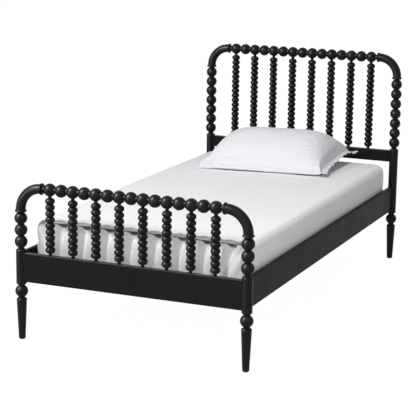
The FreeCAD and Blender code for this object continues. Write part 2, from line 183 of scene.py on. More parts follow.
def addBump(tree, shader, height, distance, strength=1.0, normal=None):
    bump = addNode(tree, "ShaderNodeBump", Height=height, Distance=distance, Strength=strength)
    if normal is not None:
        tree.links.new(normal, bump.inputs["Normal"])
    tree.links.new(bump.outputs[0], shader.inputs["Normal"])
    return bump.outputs[0]


blackPaint = {
    # turned pieces are rubbed to a shine, sawn rails are flatter
    "turned": {
        "deep": (0.0042, 0.0041, 0.0046, 1), "worn": (0.0095, 0.0092, 0.0099, 1),
        "shine": 0.085, "rough": (0.33, 0.42),
    },
    "endRail": {
        "deep": (0.0096, 0.0094, 0.0096, 1), "worn": (0.0130, 0.0127, 0.0129, 1),
        "shine": 0.015, "rough": (0.26, 0.38),
    },
    "sideRail": {
        "deep": (0.0118, 0.0116, 0.0098, 1), "worn": (0.0155, 0.0152, 0.0130, 1),
        "shine": 0.012, "rough": (0.26, 0.38),
    },
    # painted light: a paler colour painted on surfaces that face up, standing in for light on the
    # tops, and the upward slants over which it comes in, for no piece and for the end rails
    "paintedTopLight": (0.050, 0.049, 0.050, 1), "noPaintedTopLight": (1.1, 1.2), "railPaintedTopLight": (0.3, 0.8),
    "poreDepth": 0.00016, "figureScale": 9.0, "figureContrast": 1.6, "rubScale": 7.0,
    "lengthwise": 0.12,
}


def paintMaterial(name, stretch, coat, paintedLightOn=blackPaint["noPaintedTopLight"]):
    # the last argument: between which upward slants of the surface the paint is painted paler, a
    # painted highlight standing in for light on the tops
    material, tree, shader = newMaterial(name)
    figure = placeGroup(tree, woodFigure, Vector=objectPoint(tree, stretch),
                        Scale=blackPaint["figureScale"], Contrast=blackPaint["figureContrast"])
    rub = placeGroup(tree, handling, Vector=objectPoint(tree), Scale=blackPaint["rubScale"],
                     Low=coat["rough"][0], High=coat["rough"][1])
    facing = addNode(tree, "ShaderNodeTexCoord").outputs["Normal"]
    upward = addNode(tree, "ShaderNodeSeparateXYZ", i0=facing).outputs[2]
    ramp = addNode(tree, "ShaderNodeMapRange", i0=upward, i1=paintedLightOn[0], i2=paintedLightOn[1])
    color = mixColors(tree, figure["Figure"], coat["deep"], coat["worn"])
    # painted light: paler where the surface faces up
    color = mixColors(tree, ramp.outputs[0], color, blackPaint["paintedTopLight"])
    tree.links.new(color, shader.inputs["Base Color"])
    tree.links.new(rub["Value"], shader.inputs["Roughness"])
    shader.inputs["Specular IOR Level"].default_value = coat["shine"]
    addBump(tree, shader, figure["Pores"], blackPaint["poreDepth"], 0.5)
    return material


def grainAlong(axis, lengthwise):
    # the figure is drawn out along one axis of the piece
    return tuple(lengthwise if number == axis else 1.0 for number in range(3))


acrossBed, alongBed, upBed = (grainAlong(axis, blackPaint["lengthwise"]) for axis in range(3))
paintUpright = paintMaterial("satinBlackTurned", upBed, blackPaint["turned"])
paintTurnedAcross = paintMaterial("satinBlackTurnedAcross", acrossBed, blackPaint["turned"])
paintAcross = paintMaterial("satinBlackAcross", acrossBed, blackPaint["endRail"],
                            blackPaint["railPaintedTopLight"])
paintAlong = paintMaterial("satinBlackAlong", alongBed, blackPaint["sideRail"])

bareWood = {
    "pale": (0.74, 0.58, 0.38, 1), "late": (0.50, 0.33, 0.17, 1), "rough": 0.62,
    "figureScale": 14.0, "figureContrast": 2.6, "poreDepth": 0.0003,
    "sawn": 0.06, "turned": 0.2, "alongTint": 0.95, "pinTint": 1.1,
}


def bareWoodMaterial(name, stretch, tint):
    material, tree, shader = newMaterial(name)
    figure = placeGroup(tree, woodFigure, Vector=objectPoint(tree, stretch),
                        Scale=bareWood["figureScale"], Contrast=bareWood["figureContrast"])
    late = tuple(part * tint for part in bareWood["late"][:3]) + (1,)
    color = mixColors(tree, figure["Figure"], bareWood["pale"], late)
    tree.links.new(color, shader.inputs["Base Color"])
    shader.inputs["Roughness"].default_value = bareWood["rough"]
    addBump(tree, shader, figure["Pores"], bareWood["poreDepth"], 0.6)
    return material


pineAcross = bareWoodMaterial("planedPineAcross", grainAlong(0, bareWood["sawn"]), 1.0)
pineAlong = bareWoodMaterial("planedPineAlong", grainAlong(1, bareWood["sawn"]),
                             bareWood["alongTint"])
beechPin = bareWoodMaterial("turnedBeech", grainAlong(2, bareWood["turned"]), bareWood["pinTint"])

zincPlate = {
    "color": (0.56, 0.57, 0.58, 1), "dull": (0.40, 0.41, 0.43, 1), "low": 0.28, "high": 0.45,
    "sheetSpangle": 120.0, "screwSpangle": 400.0,
}


def zincMaterial(name, scale):
    material, tree, shader = newMaterial(name)
    point = objectPoint(tree)
    spangle = placeGroup(tree, handling, Vector=point, Scale=scale, Low=0.0, High=1.0)
    rough = placeGroup(tree, handling, Vector=point, Scale=scale * 0.4,
                       Low=zincPlate["low"], High=zincPlate["high"])
    color = mixColors(tree, spangle["Value"], zincPlate["color"], zincPlate["dull"])
    tree.links.new(color, shader.inputs["Base Color"])
    tree.links.new(rough["Value"], shader.inputs["Roughness"])
    shader.inputs["Metallic"].default_value = 1.0
    return material


zincSheet = zincMaterial("zincSheet", zincPlate["sheetSpangle"])
zincScrew = zincMaterial("zincScrew", zincPlate["screwSpangle"])

webbing = {
    "light": (0.66, 0.63, 0.56, 1), "dark": (0.50, 0.47, 0.41, 1), "rough": 0.85,
    "threads": 2600.0, "slub": 0.5, "weaveDepth": 0.0004,
}
strapWeb, tree, shader = newMaterial("wovenStrap")
weave = placeGroup(tree, plainWeave, Vector=objectPoint(tree), Threads=webbing["threads"],
                   Slub=webbing["slub"])
color = mixColors(tree, weave["Shade"], webbing["light"], webbing["dark"])
tree.links.new(color, shader.inputs["Base Color"])
shader.inputs["Roughness"].default_value = webbing["rough"]
addBump(tree, shader, weave["Height"], webbing["weaveDepth"])

nylon = {"color": (0.02, 0.02, 0.02, 1), "rubScale": 60.0, "low": 0.45, "high": 0.65}
blackNylon, tree, shader = newMaterial("blackNylon")
rub = placeGroup(tree, handling, Vector=objectPoint(tree), Scale=nylon["rubScale"],
                 Low=nylon["low"], High=nylon["high"])
tree.links.new(rub["Value"], shader.inputs["Roughness"])
shader.inputs["Base Color"].default_value = nylon["color"]

cotton = {
    "sheet": (0.765, 0.765, 0.785, 1), "sheetShade": (0.735, 0.735, 0.76, 1),
    "case": (0.695, 0.695, 0.720, 1), "caseShade": (0.665, 0.665, 0.695, 1),
    "rough": 0.9, "shine": 0.1, "sheen": 0.12, "sheenRough": 0.5,
    "slub": 0.5, "creaseScale": 38.0, "creaseStrength": 0.6, "weaveStrength": 0.5,
    # painted shade: the colour the cloth takes where shadow is painted in
    "paintedShadeColor": (0.100, 0.084, 0.070, 1),
    "ticking": (0.72, 0.71, 0.69, 1), "tickingShade": (0.60, 0.60, 0.60, 1),
}


def cottonMaterial(name, light, shade, threads, weaveDepth, crinkle):
    # painted shade: the shade attribute, where a piece has one, is how far the cloth's colour is
    # darkened to stand in for shadow
    material, tree, shader = newMaterial(name)
    point = objectPoint(tree)
    weave = placeGroup(tree, plainWeave, Vector=point, Threads=threads, Slub=cotton["slub"])
    paintedShade = addNode(tree, "ShaderNodeAttribute", {"attribute_name": "paintedShade"}).outputs["Fac"]
    cloth = mixColors(tree, weave["Shade"], light, shade)
    tree.links.new(mixColors(tree, paintedShade, cloth, cotton["paintedShadeColor"]), shader.inputs["Base Color"])
    shader.inputs["Roughness"].default_value = cotton["rough"]
    shader.inputs["Specular IOR Level"].default_value = cotton["shine"]
    shader.inputs["Sheen Weight"].default_value = cotton["sheen"]
    shader.inputs["Sheen Roughness"].default_value = cotton["sheenRough"]
    creases = addNode(tree, "ShaderNodeTexNoise", Vector=point, Scale=cotton["creaseScale"],
                      Detail=5.0, Roughness=0.6, Distortion=0.8)
    first = addBump(tree, shader, creases.outputs["Fac"], crinkle, cotton["creaseStrength"])
    addBump(tree, shader, weave["Height"], weaveDepth, cotton["weaveStrength"], first)
    return material


sheetCotton = cottonMaterial("sheetCotton", cotton["sheet"], cotton["sheetShade"],
                             threads=4200.0, weaveDepth=0.0003, crinkle=0.0034)
caseCotton = cottonMaterial("caseCotton", cotton["case"], cotton["caseShade"],
                            threads=4200.0, weaveDepth=0.0003, crinkle=0.0036)
ticking = cottonMaterial("mattressTicking", cotton["ticking"], cotton["tickingShade"],
                         threads=2400.0, weaveDepth=0.0004, crinkle=0.001)
print("finishes made")


finishes = [
    # what a node's name holds, and its finish; the first that fits is taken
    ("slat_cleat", pineAlong), ("slat_strap", strapWeb), ("_plates", zincSheet),
    ("_screws", zincScrew), ("slat_", pineAcross), ("_dowels", beechPin),
    ("_glides", blackNylon), ("side_rail", paintAlong), ("top_rail", paintTurnedAcross),
    ("_rail", paintAcross), ("", paintUpright),
]


for name, piece in nodes.items():
    finish = next(material for part, material in finishes if part in name)
    if not piece.material_slots:
        piece.data.materials.append(finish)
    for slot in piece.material_slots:
        slot.material = finish
print("CAD nodes finished")


def gridFaces(rows, columns):
    # quads between neighbouring rows; the columns run round and close on themselves
    row, column = np.meshgrid(np.arange(rows - 1), np.arange(columns), indexing="ij")
    following = (column + 1) % columns
    here, below = row * columns, (row + 1) * columns
    quads = np.stack([here + column, here + following, below + following, below + column], -1)
    return quads.reshape(-1, 4)


def endCaps(rows, columns):
    # quads across the first and the last row, from each column to the one as far round
    # the other way, and turned over on the last row so that they face outwards
    start = np.array([[0], [rows - 1]]) * columns
    column = np.arange(1, columns // 2 - 1)
    opposite = columns - column
    quads = start[..., None] + np.stack([column, opposite, opposite - 1, column + 1], -1)
    quads[1] = quads[1, :, ::-1]
    return quads.reshape(-1, 4)


def applyModifiers(piece):
    # the evaluated mesh takes the place of the piece's own
    shown = piece.evaluated_get(bpy.context.evaluated_depsgraph_get())
    mesh = bpy.data.meshes.new_from_object(shown)
    piece.modifiers.clear()
    old, piece.data = piece.data, mesh
    bpy.data.meshes.remove(old)


def weldPoints(piece, distance):
    modifier = piece.modifiers.new("weld", "WELD")
    modifier.merge_threshold = distance
    applyModifiers(piece)


def newPiece(name, points, faces, material, merge=0.0, paintedShade=None):
    # one mesh from its points and quads, shaded smooth; merge welds points that close,
    # and the last argument is painted shade: how far the cloth's colour is darkened at each point
    # to stand in for shadow
    mesh = bpy.data.meshes.new(name)
    mesh.from_pydata(points.reshape(-1, 3).tolist(), [], faces.tolist())
    mesh.materials.append(material)
    if paintedShade is not None:
        mesh.attributes.new("paintedShade", "FLOAT", "POINT").data.foreach_set("value", paintedShade.reshape(-1))
    piece = bpy.data.objects.new(name, mesh)
    bpy.context.scene.collection.objects.link(piece)
    if merge:
        weldPoints(piece, merge)
    piece.data.polygons.foreach_set("use_smooth", np.ones(len(piece.data.polygons), bool))
    return piece


def waves(places, wavelength, amount, count, seed):
    # a sum of plane waves with seeded directions, wavelengths and phases
    chance = np.random.default_rng(seed)
    directions = chance.normal(size=(count, places.shape[-1]))
    directions /= np.linalg.norm(directions, axis=1)[:, None]
    lengths = wavelength * chance.uniform(0.6, 1.6, count)
    phases = chance.uniform(0, 2 * np.pi, count)
    angle = 2 * np.pi * (places @ directions.T) / lengths + phases
    return amount * np.sin(angle).sum(-1) / math.sqrt(count)


def smooth(value, low, high):
    # 0 below low, 1 above high, and an even ramp between
    share = np.clip((value - low) / (high - low), 0, 1)
    return share * share * (3 - 2 * share)


def falling(value, high, low):
    # 0 above high, 1 below low, and an even ramp between
    return smooth(-value, -high, -low)


def bell(value, middle, width):
    # 1 at the middle, and falling off as the exponential of minus a square
    return np.exp(-(((value - middle) / width) ** 2))


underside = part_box("mattress")[0][2]
bed = {
    "halfWidth": 0.480, "halfLength": 0.9525, "cornerRadius": 0.075, "leastRadius": 0.0005,
    "bottom": underside + 0.0008, "top": 0.4953, "crown": 0.005, "crownFadePower": 8,
    "crownFromBelow": 0.012, "crownRamp": 0.008,
    "topEdge": 0.030, "bottomEdge": 0.020, "bulge": 0.001,
    # steps along a side, along an end and round a corner
    "sheetRing": (234, 108, 16), "coreRing": (60, 30, 8),
    # steps over the top, round its edge, down the wall, round the bottom edge and under
    "sheetRows": (43, 34, 30, 5, 7), "coreRows": (16, 6, 8, 4, 12),
}


def ringPoints(inset, ringSteps):
    # rounded rectangles, one for each inset: four quarter circles, each followed by a
    # straight run to the next, with a radius that shrinks by the inset
    sideSteps, endSteps, cornerSteps = ringSteps
    inset = inset[:, None]
    radius = np.maximum(bed["cornerRadius"] - inset, bed["leastRadius"])
    centreX = np.maximum(bed["halfWidth"] - inset - radius, 0)
    centreY = np.maximum(bed["halfLength"] - inset - radius, 0)
    corners = ((1, -1), (1, 1), (-1, 1), (-1, -1))
    xs, ys = [], []
    for quarter, (cornerX, cornerY) in enumerate(corners):
        nextX, nextY = corners[(quarter + 1) % 4]
        outward = quarter * np.pi / 2
        turn = outward + np.linspace(-np.pi / 2, 0, cornerSteps, endpoint=False)
        share = np.linspace(0, 1, endSteps if quarter % 2 else sideSteps, endpoint=False)
        xs.append(cornerX * centreX + radius * np.cos(turn))
        ys.append(cornerY * centreY + radius * np.sin(turn))
        xs.append(centreX * (cornerX + (nextX - cornerX) * share) + radius * np.cos(outward))
        ys.append(centreY * (cornerY + (nextY - cornerY) * share) + radius * np.sin(outward))
    return np.concatenate(xs, 1), np.concatenate(ys, 1)


def bedProfile(rowSteps, underReach, shrink):
    # from the middle of the top to the underside: inset from the wall, height, and the
    # share of the wall's bulge, as flat runs joined by two quarter circles
    topSteps, edgeSteps, wallSteps, heelSteps, underSteps = rowSteps
    top, bottom = bed["top"] - bed["crown"] - shrink, bed["bottom"] + shrink
    edge, heel = bed["topEdge"], bed["bottomEdge"]
    edgeTurn = np.linspace(0, np.pi / 2, edgeSteps, endpoint=False)
    heelTurn = np.linspace(0, np.pi / 2, heelSteps, endpoint=False)
    inset = np.concatenate([
        np.linspace(bed["halfWidth"], edge, topSteps, endpoint=False),
        edge - edge * np.sin(edgeTurn),
        np.zeros(wallSteps),
        heel - heel * np.cos(heelTurn),
        np.linspace(heel, underReach, underSteps),
    ])
    height = np.concatenate([
        np.full(topSteps, top),
        top - edge + edge * np.cos(edgeTurn),
        np.linspace(top - edge, bottom + heel, wallSteps, endpoint=False),
        bottom + heel - heel * np.sin(heelTurn),
        np.full(underSteps, bottom),
    ])
    middle = (top - edge + bottom + heel) / 2
    bulge = np.clip(1 - ((height - middle) / (top - edge - middle)) ** 2, 0, 1)
    return inset + shrink, height, bulge


def bedSurface(ringSteps, rowSteps, underReach, shrink=0.0):
    # a rounded rectangle at each row of the profile; the wall bulges out as a parabola
    inset, height, bulge = bedProfile(rowSteps, underReach, shrink)
    x, y = ringPoints(inset + bed["bulge"] * (1 - bulge), ringSteps)
    return np.stack([x, y, np.repeat(height[:, None], x.shape[1], 1)], -1)


def crowned(points):
    # the crown of the top: a parabola across the bed that fades out towards the head, by
    # a high power of the share of the length, and below the top edge
    x, y, z = np.moveaxis(points, -1, 0)
    across, along = x / bed["halfWidth"], np.clip(y / bed["halfLength"], 0, 1)
    crown = bed["crown"] * np.clip(1 - across ** 2, 0, 1) * (1 - along ** bed["crownFadePower"])
    start = bed["top"] - bed["crown"] - bed["crownFromBelow"]
    out = points.copy()
    out[..., 2] += crown * np.clip((z - start) / bed["crownRamp"], 0, 1)
    return out


def surfaceNormals(points):
    # cross product of the differences down the rows and round the columns
    down = np.gradient(points, axis=0)
    sideways = np.roll(points, -1, 1) - np.roll(points, 1, 1)
    normal = np.cross(down, sideways)
    length = np.linalg.norm(normal, axis=-1, keepdims=True)
    return normal / np.maximum(length, 1e-12)


sheet = {
    # waves: wavelength, amount, count and seed; ramp: where a smooth ramp starts and ends
    "unevenWaves": (0.30, 0.0016, 14, 3),
    "crinkleWaves": (0.045, 0.00045, 24, 7),
    "crinklePatches": (0.35, 1.0, 8, 5), "crinkleRamp": (-0.4, 1.2),
    "puckerWaves": (0.034, 0.0016, 10, 11), "puckerReach": 0.030, "puckerLostAtFoot": 0.8,
    "puckerPatches": (0.25, 1.0, 8, 9), "puckerRamp": (0.0, 1.2),
    "cornerFold": 0.0030, "cornerFoldLength": 0.042, "cornerFoldReach": 0.12,
    "cornerFoldSlant": 0.45, "cornerFoldInset": 0.03, "wallRamp": (0.012, 0.06),
    "drapeWaves": (0.085, 0.0009, 6, 17), "drapeFrom": 0.04, "drapeTo": 0.03,
    "underRamp": 0.012, "lowest": underside + 0.0003,
    # the roll of the foot edge, by shares of its quarter circle
    "rollShare": (0, 0.15, 0.3, 0.42, 0.52, 0.6, 0.66, 0.71, 0.76, 0.81, 0.86, 0.93, 1.0),
    "rollInset": (0.030, 0.030, 0.0298, 0.0294, 0.0288, 0.0284, 0.0282,
                  0.029, 0.031, 0.034, 0.036, 0.036, 0.034),
    "rollDepth": (0, 0.0002, 0.0004, 0.0008, 0.0014, 0.0024, 0.0036,
                  0.0046, 0.0054, 0.0066, 0.010, 0.018, 0.030),
    "rollEnds": (0.455, 0.40), "footRamp": (0.07, 0.04), "setBackFade": 0.070,
    # the pleat: x and z of its line at the top and at the foot, and its two sides
    "pleatTop": (0.436, 0.490), "pleatFoot": (0.366, 0.350), "pleatBend": 1.5,
    "pleatLean": 0.9, "pleat": 0.0085, "pleatEdge": 0.0030, "pleatFade": 0.055,
    "pleatFootRamp": (0.06, 0.03), "pleatSideRamp": (0.2, 0.3), "pleatTopRamp": (0.002, 0.02),
    "tuck": 0.0060, "tuckWidth": 0.013,
    "hollow": 0.009, "hollowFrom": 0.026, "hollowWidth": 0.011, "hollowRamp": (0.42, 0.46),
    # painted shade standing in for shadow: under the foot edge by depth below the crown, and in
    # the pleat
    "shadeFrom": 0.0036, "shadeRamp": (-0.0012, 0.0003), "shadeEnd": 0.004,
    "shadeDrop": 0.006, "shadowPatchDrop": 0.014,
    "shadowPatchSpacing": 0.107, "shadowPatchFrom": -0.025, "shadowPatchRamp": (-0.1, 1.1),
    "hollowShade": 0.2, "tuckShade": 0.08,
    # under the pillow the sheet is pressed to the bed's top, elsewhere it may rise a little
    "pillowAcross": (0.36, 0.32), "pillowAlong": (0.34, 0.39), "mostRise": 0.0012,
    "underReach": 0.10, "weld": 0.0004, "flatCut": (1.56, 2.50), "cutArea": 3.5,
}


def atFoot(y, ramp):
    # 0 inside the bed and 1 at its foot end; the ramp is given as distances from the end
    return smooth(-y, bed["halfLength"] - ramp[0], bed["halfLength"] - ramp[1])


def footRoll(points, rowSteps):
    # the foot edge as a soft roll over a wall that stands back: the rows of the quarter
    # circle move from the circle to a curve through listed insets and depths, and the
    # wall below keeps the last inset, fading with depth
    x, y, z = np.moveaxis(points, -1, 0)
    share = np.clip((np.arange(len(points)) - rowSteps[0]) / rowSteps[1], 0, 1)[:, None]
    turn, edge, onEdge = share * np.pi / 2, bed["topEdge"], share > 0
    inset = np.interp(share, sheet["rollShare"], sheet["rollInset"]) - edge * (1 - np.sin(turn))
    depth = np.interp(share, sheet["rollShare"], sheet["rollDepth"]) - edge * (1 - np.cos(turn))
    below = np.clip(bed["top"] - bed["crown"] - edge - z, 0, 1)
    inFoot = y < -bed["halfLength"] + sheet["footRamp"][0]
    weight = inFoot * onEdge * falling(np.abs(x), *sheet["rollEnds"])
    out = points.copy()
    out[..., 1] += weight * inset * np.exp(-below / sheet["setBackFade"])
    out[..., 2] -= weight * depth
    return out


def footPleat(x, y, z):
    # a folded pleat at the right foot corner: a flap on the outer side of a bent line,
    # which fades away from it, a tuck on the inner side and a hollow on the flap
    (topX, topZ), (footX, footZ) = sheet["pleatTop"], sheet["pleatFoot"]
    rise = np.clip((z - footZ) / (topZ - footZ), 0, 1)
    across = x - footX - (topX - footX) * rise ** sheet["pleatBend"]
    across = sheet["pleatLean"] * across
    flap = smooth(across, -sheet["pleatEdge"], sheet["pleatEdge"])
    flap = flap * np.exp(-np.clip(across, 0, 1) / sheet["pleatFade"])
    tuck = bell(across, -sheet["tuckWidth"], sheet["tuckWidth"])
    hollow = bell(across, sheet["hollowFrom"], sheet["hollowWidth"])
    hollow = hollow * smooth(z, *sheet["hollowRamp"])
    onFoot = atFoot(y, sheet["pleatFootRamp"]) * smooth(x, *sheet["pleatSideRamp"])
    return onFoot * flap, onFoot * tuck, onFoot * hollow


def sheetWrinkles(points, normals):
    # how far the cloth stands out: broad unevenness and fine crinkles as plane waves,
    # puckers along the top edge, slanting folds at the corners, drapes down the wall and
    # the pleat; all but the underside
    x, y, z = np.moveaxis(points, -1, 0)
    top, plan = bed["top"], points[..., :2]
    out = waves(points, *sheet["unevenWaves"])
    patch = smooth(waves(points, *sheet["crinklePatches"]), *sheet["crinkleRamp"])
    out = out + patch * waves(points, *sheet["crinkleWaves"])
    edgeHeight = top - bed["crown"] - bed["topEdge"] * 0.5
    gate = smooth(waves(plan, *sheet["puckerPatches"]), *sheet["puckerRamp"])
    gate = gate * (1 - sheet["puckerLostAtFoot"] * atFoot(y, sheet["footRamp"]))
    gate = gate * bell(z, edgeHeight, sheet["puckerReach"])
    out = out + gate * waves(plan, *sheet["puckerWaves"])
    onSide = np.abs(normals[..., 0]) > np.abs(normals[..., 1])
    runAlong = np.where(onSide, np.abs(y), np.abs(x))
    slanted = runAlong + sheet["cornerFoldSlant"] * (edgeHeight - z)
    folds = sheet["cornerFold"] * np.cos(2 * np.pi * slanted / sheet["cornerFoldLength"])
    toCorner = np.hypot(np.abs(x) - bed["halfWidth"] + sheet["cornerFoldInset"],
                        np.abs(y) - bed["halfLength"] + sheet["cornerFoldInset"])
    onWall = falling(z, top - sheet["wallRamp"][0], top - sheet["wallRamp"][1])
    out = out + folds * onWall * bell(toCorner, 0, sheet["cornerFoldReach"])
    flap, tuck, hollow = footPleat(x, y, z)
    pleat = sheet["pleat"] * flap - sheet["tuck"] * tuck - sheet["hollow"] * hollow
    out = out + pleat * falling(z, top - sheet["pleatTopRamp"][0], top - sheet["pleatTopRamp"][1])
    drapes = waves(runAlong[..., None], *sheet["drapeWaves"])
    lower = falling(z, top - sheet["drapeFrom"], bed["bottom"] + sheet["drapeTo"])
    out = out + drapes * onWall * lower
    return out * (1 - falling(z, bed["bottom"] + sheet["underRamp"], bed["bottom"]))


def paintedShadeAmount(points):
    # painted shade, standing in for shadow: how far the cloth is painted dark, a band under the
    # foot edge that reaches down in evenly spaced patches, and a little in the pleat's tuck and
    # hollow
    x, y, z = np.moveaxis(points, -1, 0)
    below = bed["top"] - bed["crown"] * (x / bed["halfWidth"]) ** 2 - sheet["shadeFrom"] - z
    turns = (x - sheet["shadowPatchFrom"]) / sheet["shadowPatchSpacing"]
    shadowPatches = smooth(np.cos(2 * np.pi * turns), *sheet["shadowPatchRamp"])
    drop = sheet["shadeDrop"] + sheet["shadowPatchDrop"] * shadowPatches
    shade = atFoot(y, sheet["footRamp"]) * falling(np.abs(x), *sheet["rollEnds"])
    shade = shade * smooth(below, *sheet["shadeRamp"]) * smooth(drop - below, 0, sheet["shadeEnd"])
    tuck, hollow = footPleat(x, y, z)[1:]
    shade = shade + sheet["hollowShade"] * hollow + sheet["tuckShade"] * tuck
    return np.clip(shade, 0, 1)


def restingHeight(points):
    # between the slats and the bed's top, with a little rise where no pillow lies
    x, y, z = np.moveaxis(points, -1, 0)
    underPillow = falling(np.abs(x), *sheet["pillowAcross"]) * smooth(y, *sheet["pillowAlong"])
    most = bed["top"] + sheet["mostRise"] * (1 - underPillow)
    return np.minimum(np.maximum(z, sheet["lowest"]), most)


sheetPoints = bedSurface(bed["sheetRing"], bed["sheetRows"], sheet["underReach"])
sheetPoints = crowned(footRoll(sheetPoints, bed["sheetRows"]))
normals = surfaceNormals(sheetPoints)
# painted shade, taken before the wrinkles move the points
paintedShade = paintedShadeAmount(sheetPoints)
sheetPoints = sheetPoints + normals * sheetWrinkles(sheetPoints, normals)[..., None]
sheetPoints[..., 2] = restingHeight(sheetPoints)
sheetFaces = gridFaces(*sheetPoints.shape[:2])
fittedSheet = newPiece("fittedSheet", sheetPoints, sheetFaces, sheetCotton, sheet["weld"], paintedShade)
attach(fittedSheet, "mattress")
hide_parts("mattress")
print("fitted sheet", len(fittedSheet.data.polygons), "faces")

core = {
    "shrink": 0.007, "underReach": bed["halfWidth"] - 0.0075, "weld": 0.0004,
    "footSetBack": 0.032, "setBackRamp": (0.15, 0.03),
}
corePoints = bedSurface(bed["coreRing"], bed["coreRows"], core["underReach"], core["shrink"])
corePoints = crowned(corePoints)
corePoints[..., 1] += core["footSetBack"] * atFoot(corePoints[..., 1], core["setBackRamp"])
coreFaces = gridFaces(*corePoints.shape[:2])
mattressCore = newPiece("mattressCore", corePoints, coreFaces, ticking, core["weld"])
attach(mattressCore, "mattress")
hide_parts("mattress")
print("mattress core", len(mattressCore.data.polygons), "faces")


pillowForm = {
    "halfWidth": 0.310, "halfDepth": 0.243, "thickness": 0.163, "halfEnd": 0.008,
    "crestSetback": 0.060, "fullness": 5.0, "seamFront": 0.012, "seamBack": 0.060,
    "drawnIn": 0.014, "endDrawnIn": 0.012, "ear": 0.012, "earPower": 8,
    "skew": 0.026, "turn": math.radians(7.0),
    "centre": (-0.006, 0.6675), "floor": 0.4957, "lift": 0.008,
    "widthSteps": 120, "arcSteps": 70, "weld": 0.0002, "voxel": 0.006, "slack": 0.004,
    "pressure": 4.0, "looseness": 0.02, "frames": 20, "quality": 6, "mostMove": 0.010,
    # waves: wavelength, amount, count and seed; ramp: where a smooth ramp starts and ends
    "gather": 0.0018, "gatherLength": 0.021, "gatherReach": 0.060, "gatherFan": 0.5,
    "gatherDrift": (0.12, 0.006, 6, 21), "gatherUnder": 0.3,
    "gatherPatches": (0.15, 1.0, 6, 23), "gatherRamp": (-0.8, 0.6),
    "crumple": 0.0022, "crumpleWaves": (0.028, 1.0, 12, 31), "crumpleRamp": (0.06, 0.24),
    "overSeam": (-0.002, 0.006), "endRamp": (0.0, 0.02), "insideRamp": (0.0, 0.05),
    "belly": 0.004, "bellyDepth": 0.045, "seamGroove": 0.005, "seamWidth": 0.004,
    "flapFrom": (-0.012, -0.009), "flapTo": (0.030, 0.0), "flapEdge": (0.03, 0.01),
    "flapDrop": 0.0045, "cornerOut": 0.014, "cornerUp": 0.014, "cornerReach": 0.045,
    "tipDroop": 0.020, "tipReach": 0.055,
}


def arcThrough(start, middle, end, share):
    # points of the circle through three points, at shares of the angle from start to end
    a, b = middle - start, end - start
    cross = 2 * (a[..., 0] * b[..., 1] - a[..., 1] * b[..., 0])
    lengthA, lengthB = (a ** 2).sum(-1), (b ** 2).sum(-1)
    offset = np.stack([b[..., 1] * lengthA - a[..., 1] * lengthB,
                       a[..., 0] * lengthB - b[..., 0] * lengthA], -1) / cross[..., None]
    centre = start + offset
    radius = np.linalg.norm(offset, axis=-1)
    first = np.arctan2(*(start - centre)[..., ::-1].T).T
    last = np.arctan2(*(end - centre)[..., ::-1].T).T
    fullTurn = 2 * np.pi
    sweep = np.where(cross > 0, (last - first) % fullTurn, -((first - last) % fullTurn))
    angle = first[:, None] + sweep[:, None] * share
    around = np.stack([np.cos(angle), np.sin(angle)], -1)
    return centre[:, None, :] + radius[:, None, None] * around


def pillowSections(u, shares, inward):
    # each section across the width is a high arc over a flat one, which meet in a seam at
    # the front and the back; the seams are drawn in between the corners
    form = pillowForm
    full = np.sqrt(np.clip(1 - np.abs(u) ** form["fullness"], 0, 1))
    reach = form["halfDepth"] - form["drawnIn"] * full - inward
    crest = form["crestSetback"] * full
    seamMiddle = (form["seamFront"] + form["seamBack"]) / 2
    seamRise = (form["seamBack"] - form["seamFront"]) / 2
    front = np.stack([-reach, np.full_like(u, form["seamFront"])], -1)
    back = np.stack([reach, np.full_like(u, form["seamBack"])], -1)
    seamAtCrest = seamMiddle + seamRise * crest / reach
    crestHeight = np.maximum(form["thickness"] * full, seamAtCrest + form["halfEnd"])
    top = np.stack([crest, crestHeight - inward], -1)
    under = np.stack([np.zeros_like(u), seamMiddle * (1 - full) - form["halfEnd"] + inward], -1)
    upper = arcThrough(front, top, back, shares)
    lower = arcThrough(back, under, front, shares)
    loop = np.concatenate([upper[:, :-1], lower[:, :-1]], 1)
    depthShare = loop[..., 0] / reach[:, None]
    endReach = form["halfWidth"] - inward - form["endDrawnIn"] * (1 - depthShare ** 2)
    endReach = endReach + form["ear"] * depthShare ** form["earPower"]
    x = u[:, None] * endReach + form["skew"] * depthShare
    return np.concatenate([x[..., None], loop], -1)


def laidDown(points):
    # the whole pillow is turned a little and laid on the sheet
    c, s = math.cos(pillowForm["turn"]), math.sin(pillowForm["turn"])
    turned = points @ np.array([[c, s, 0], [-s, c, 0], [0, 0, 1]])
    return turned + np.array([*pillowForm["centre"], pillowForm["floor"] + pillowForm["lift"]])


def pickedUp(points):
    # laidDown the other way round
    c, s = math.cos(pillowForm["turn"]), math.sin(pillowForm["turn"])
    moved = points - np.array([*pillowForm["centre"], pillowForm["floor"] + pillowForm["lift"]])
    return moved @ np.array([[c, -s, 0], [s, c, 0], [0, 0, 1]])


def droopTip(local):
    # the back corner of the right end hangs down under its own weight
    form = pillowForm
    away = np.hypot(local[..., 0] - form["halfWidth"] - form["skew"],
                    local[..., 1] - form["halfDepth"])
    local[..., 2] -= form["tipDroop"] * bell(away, 0, form["tipReach"])
    return local


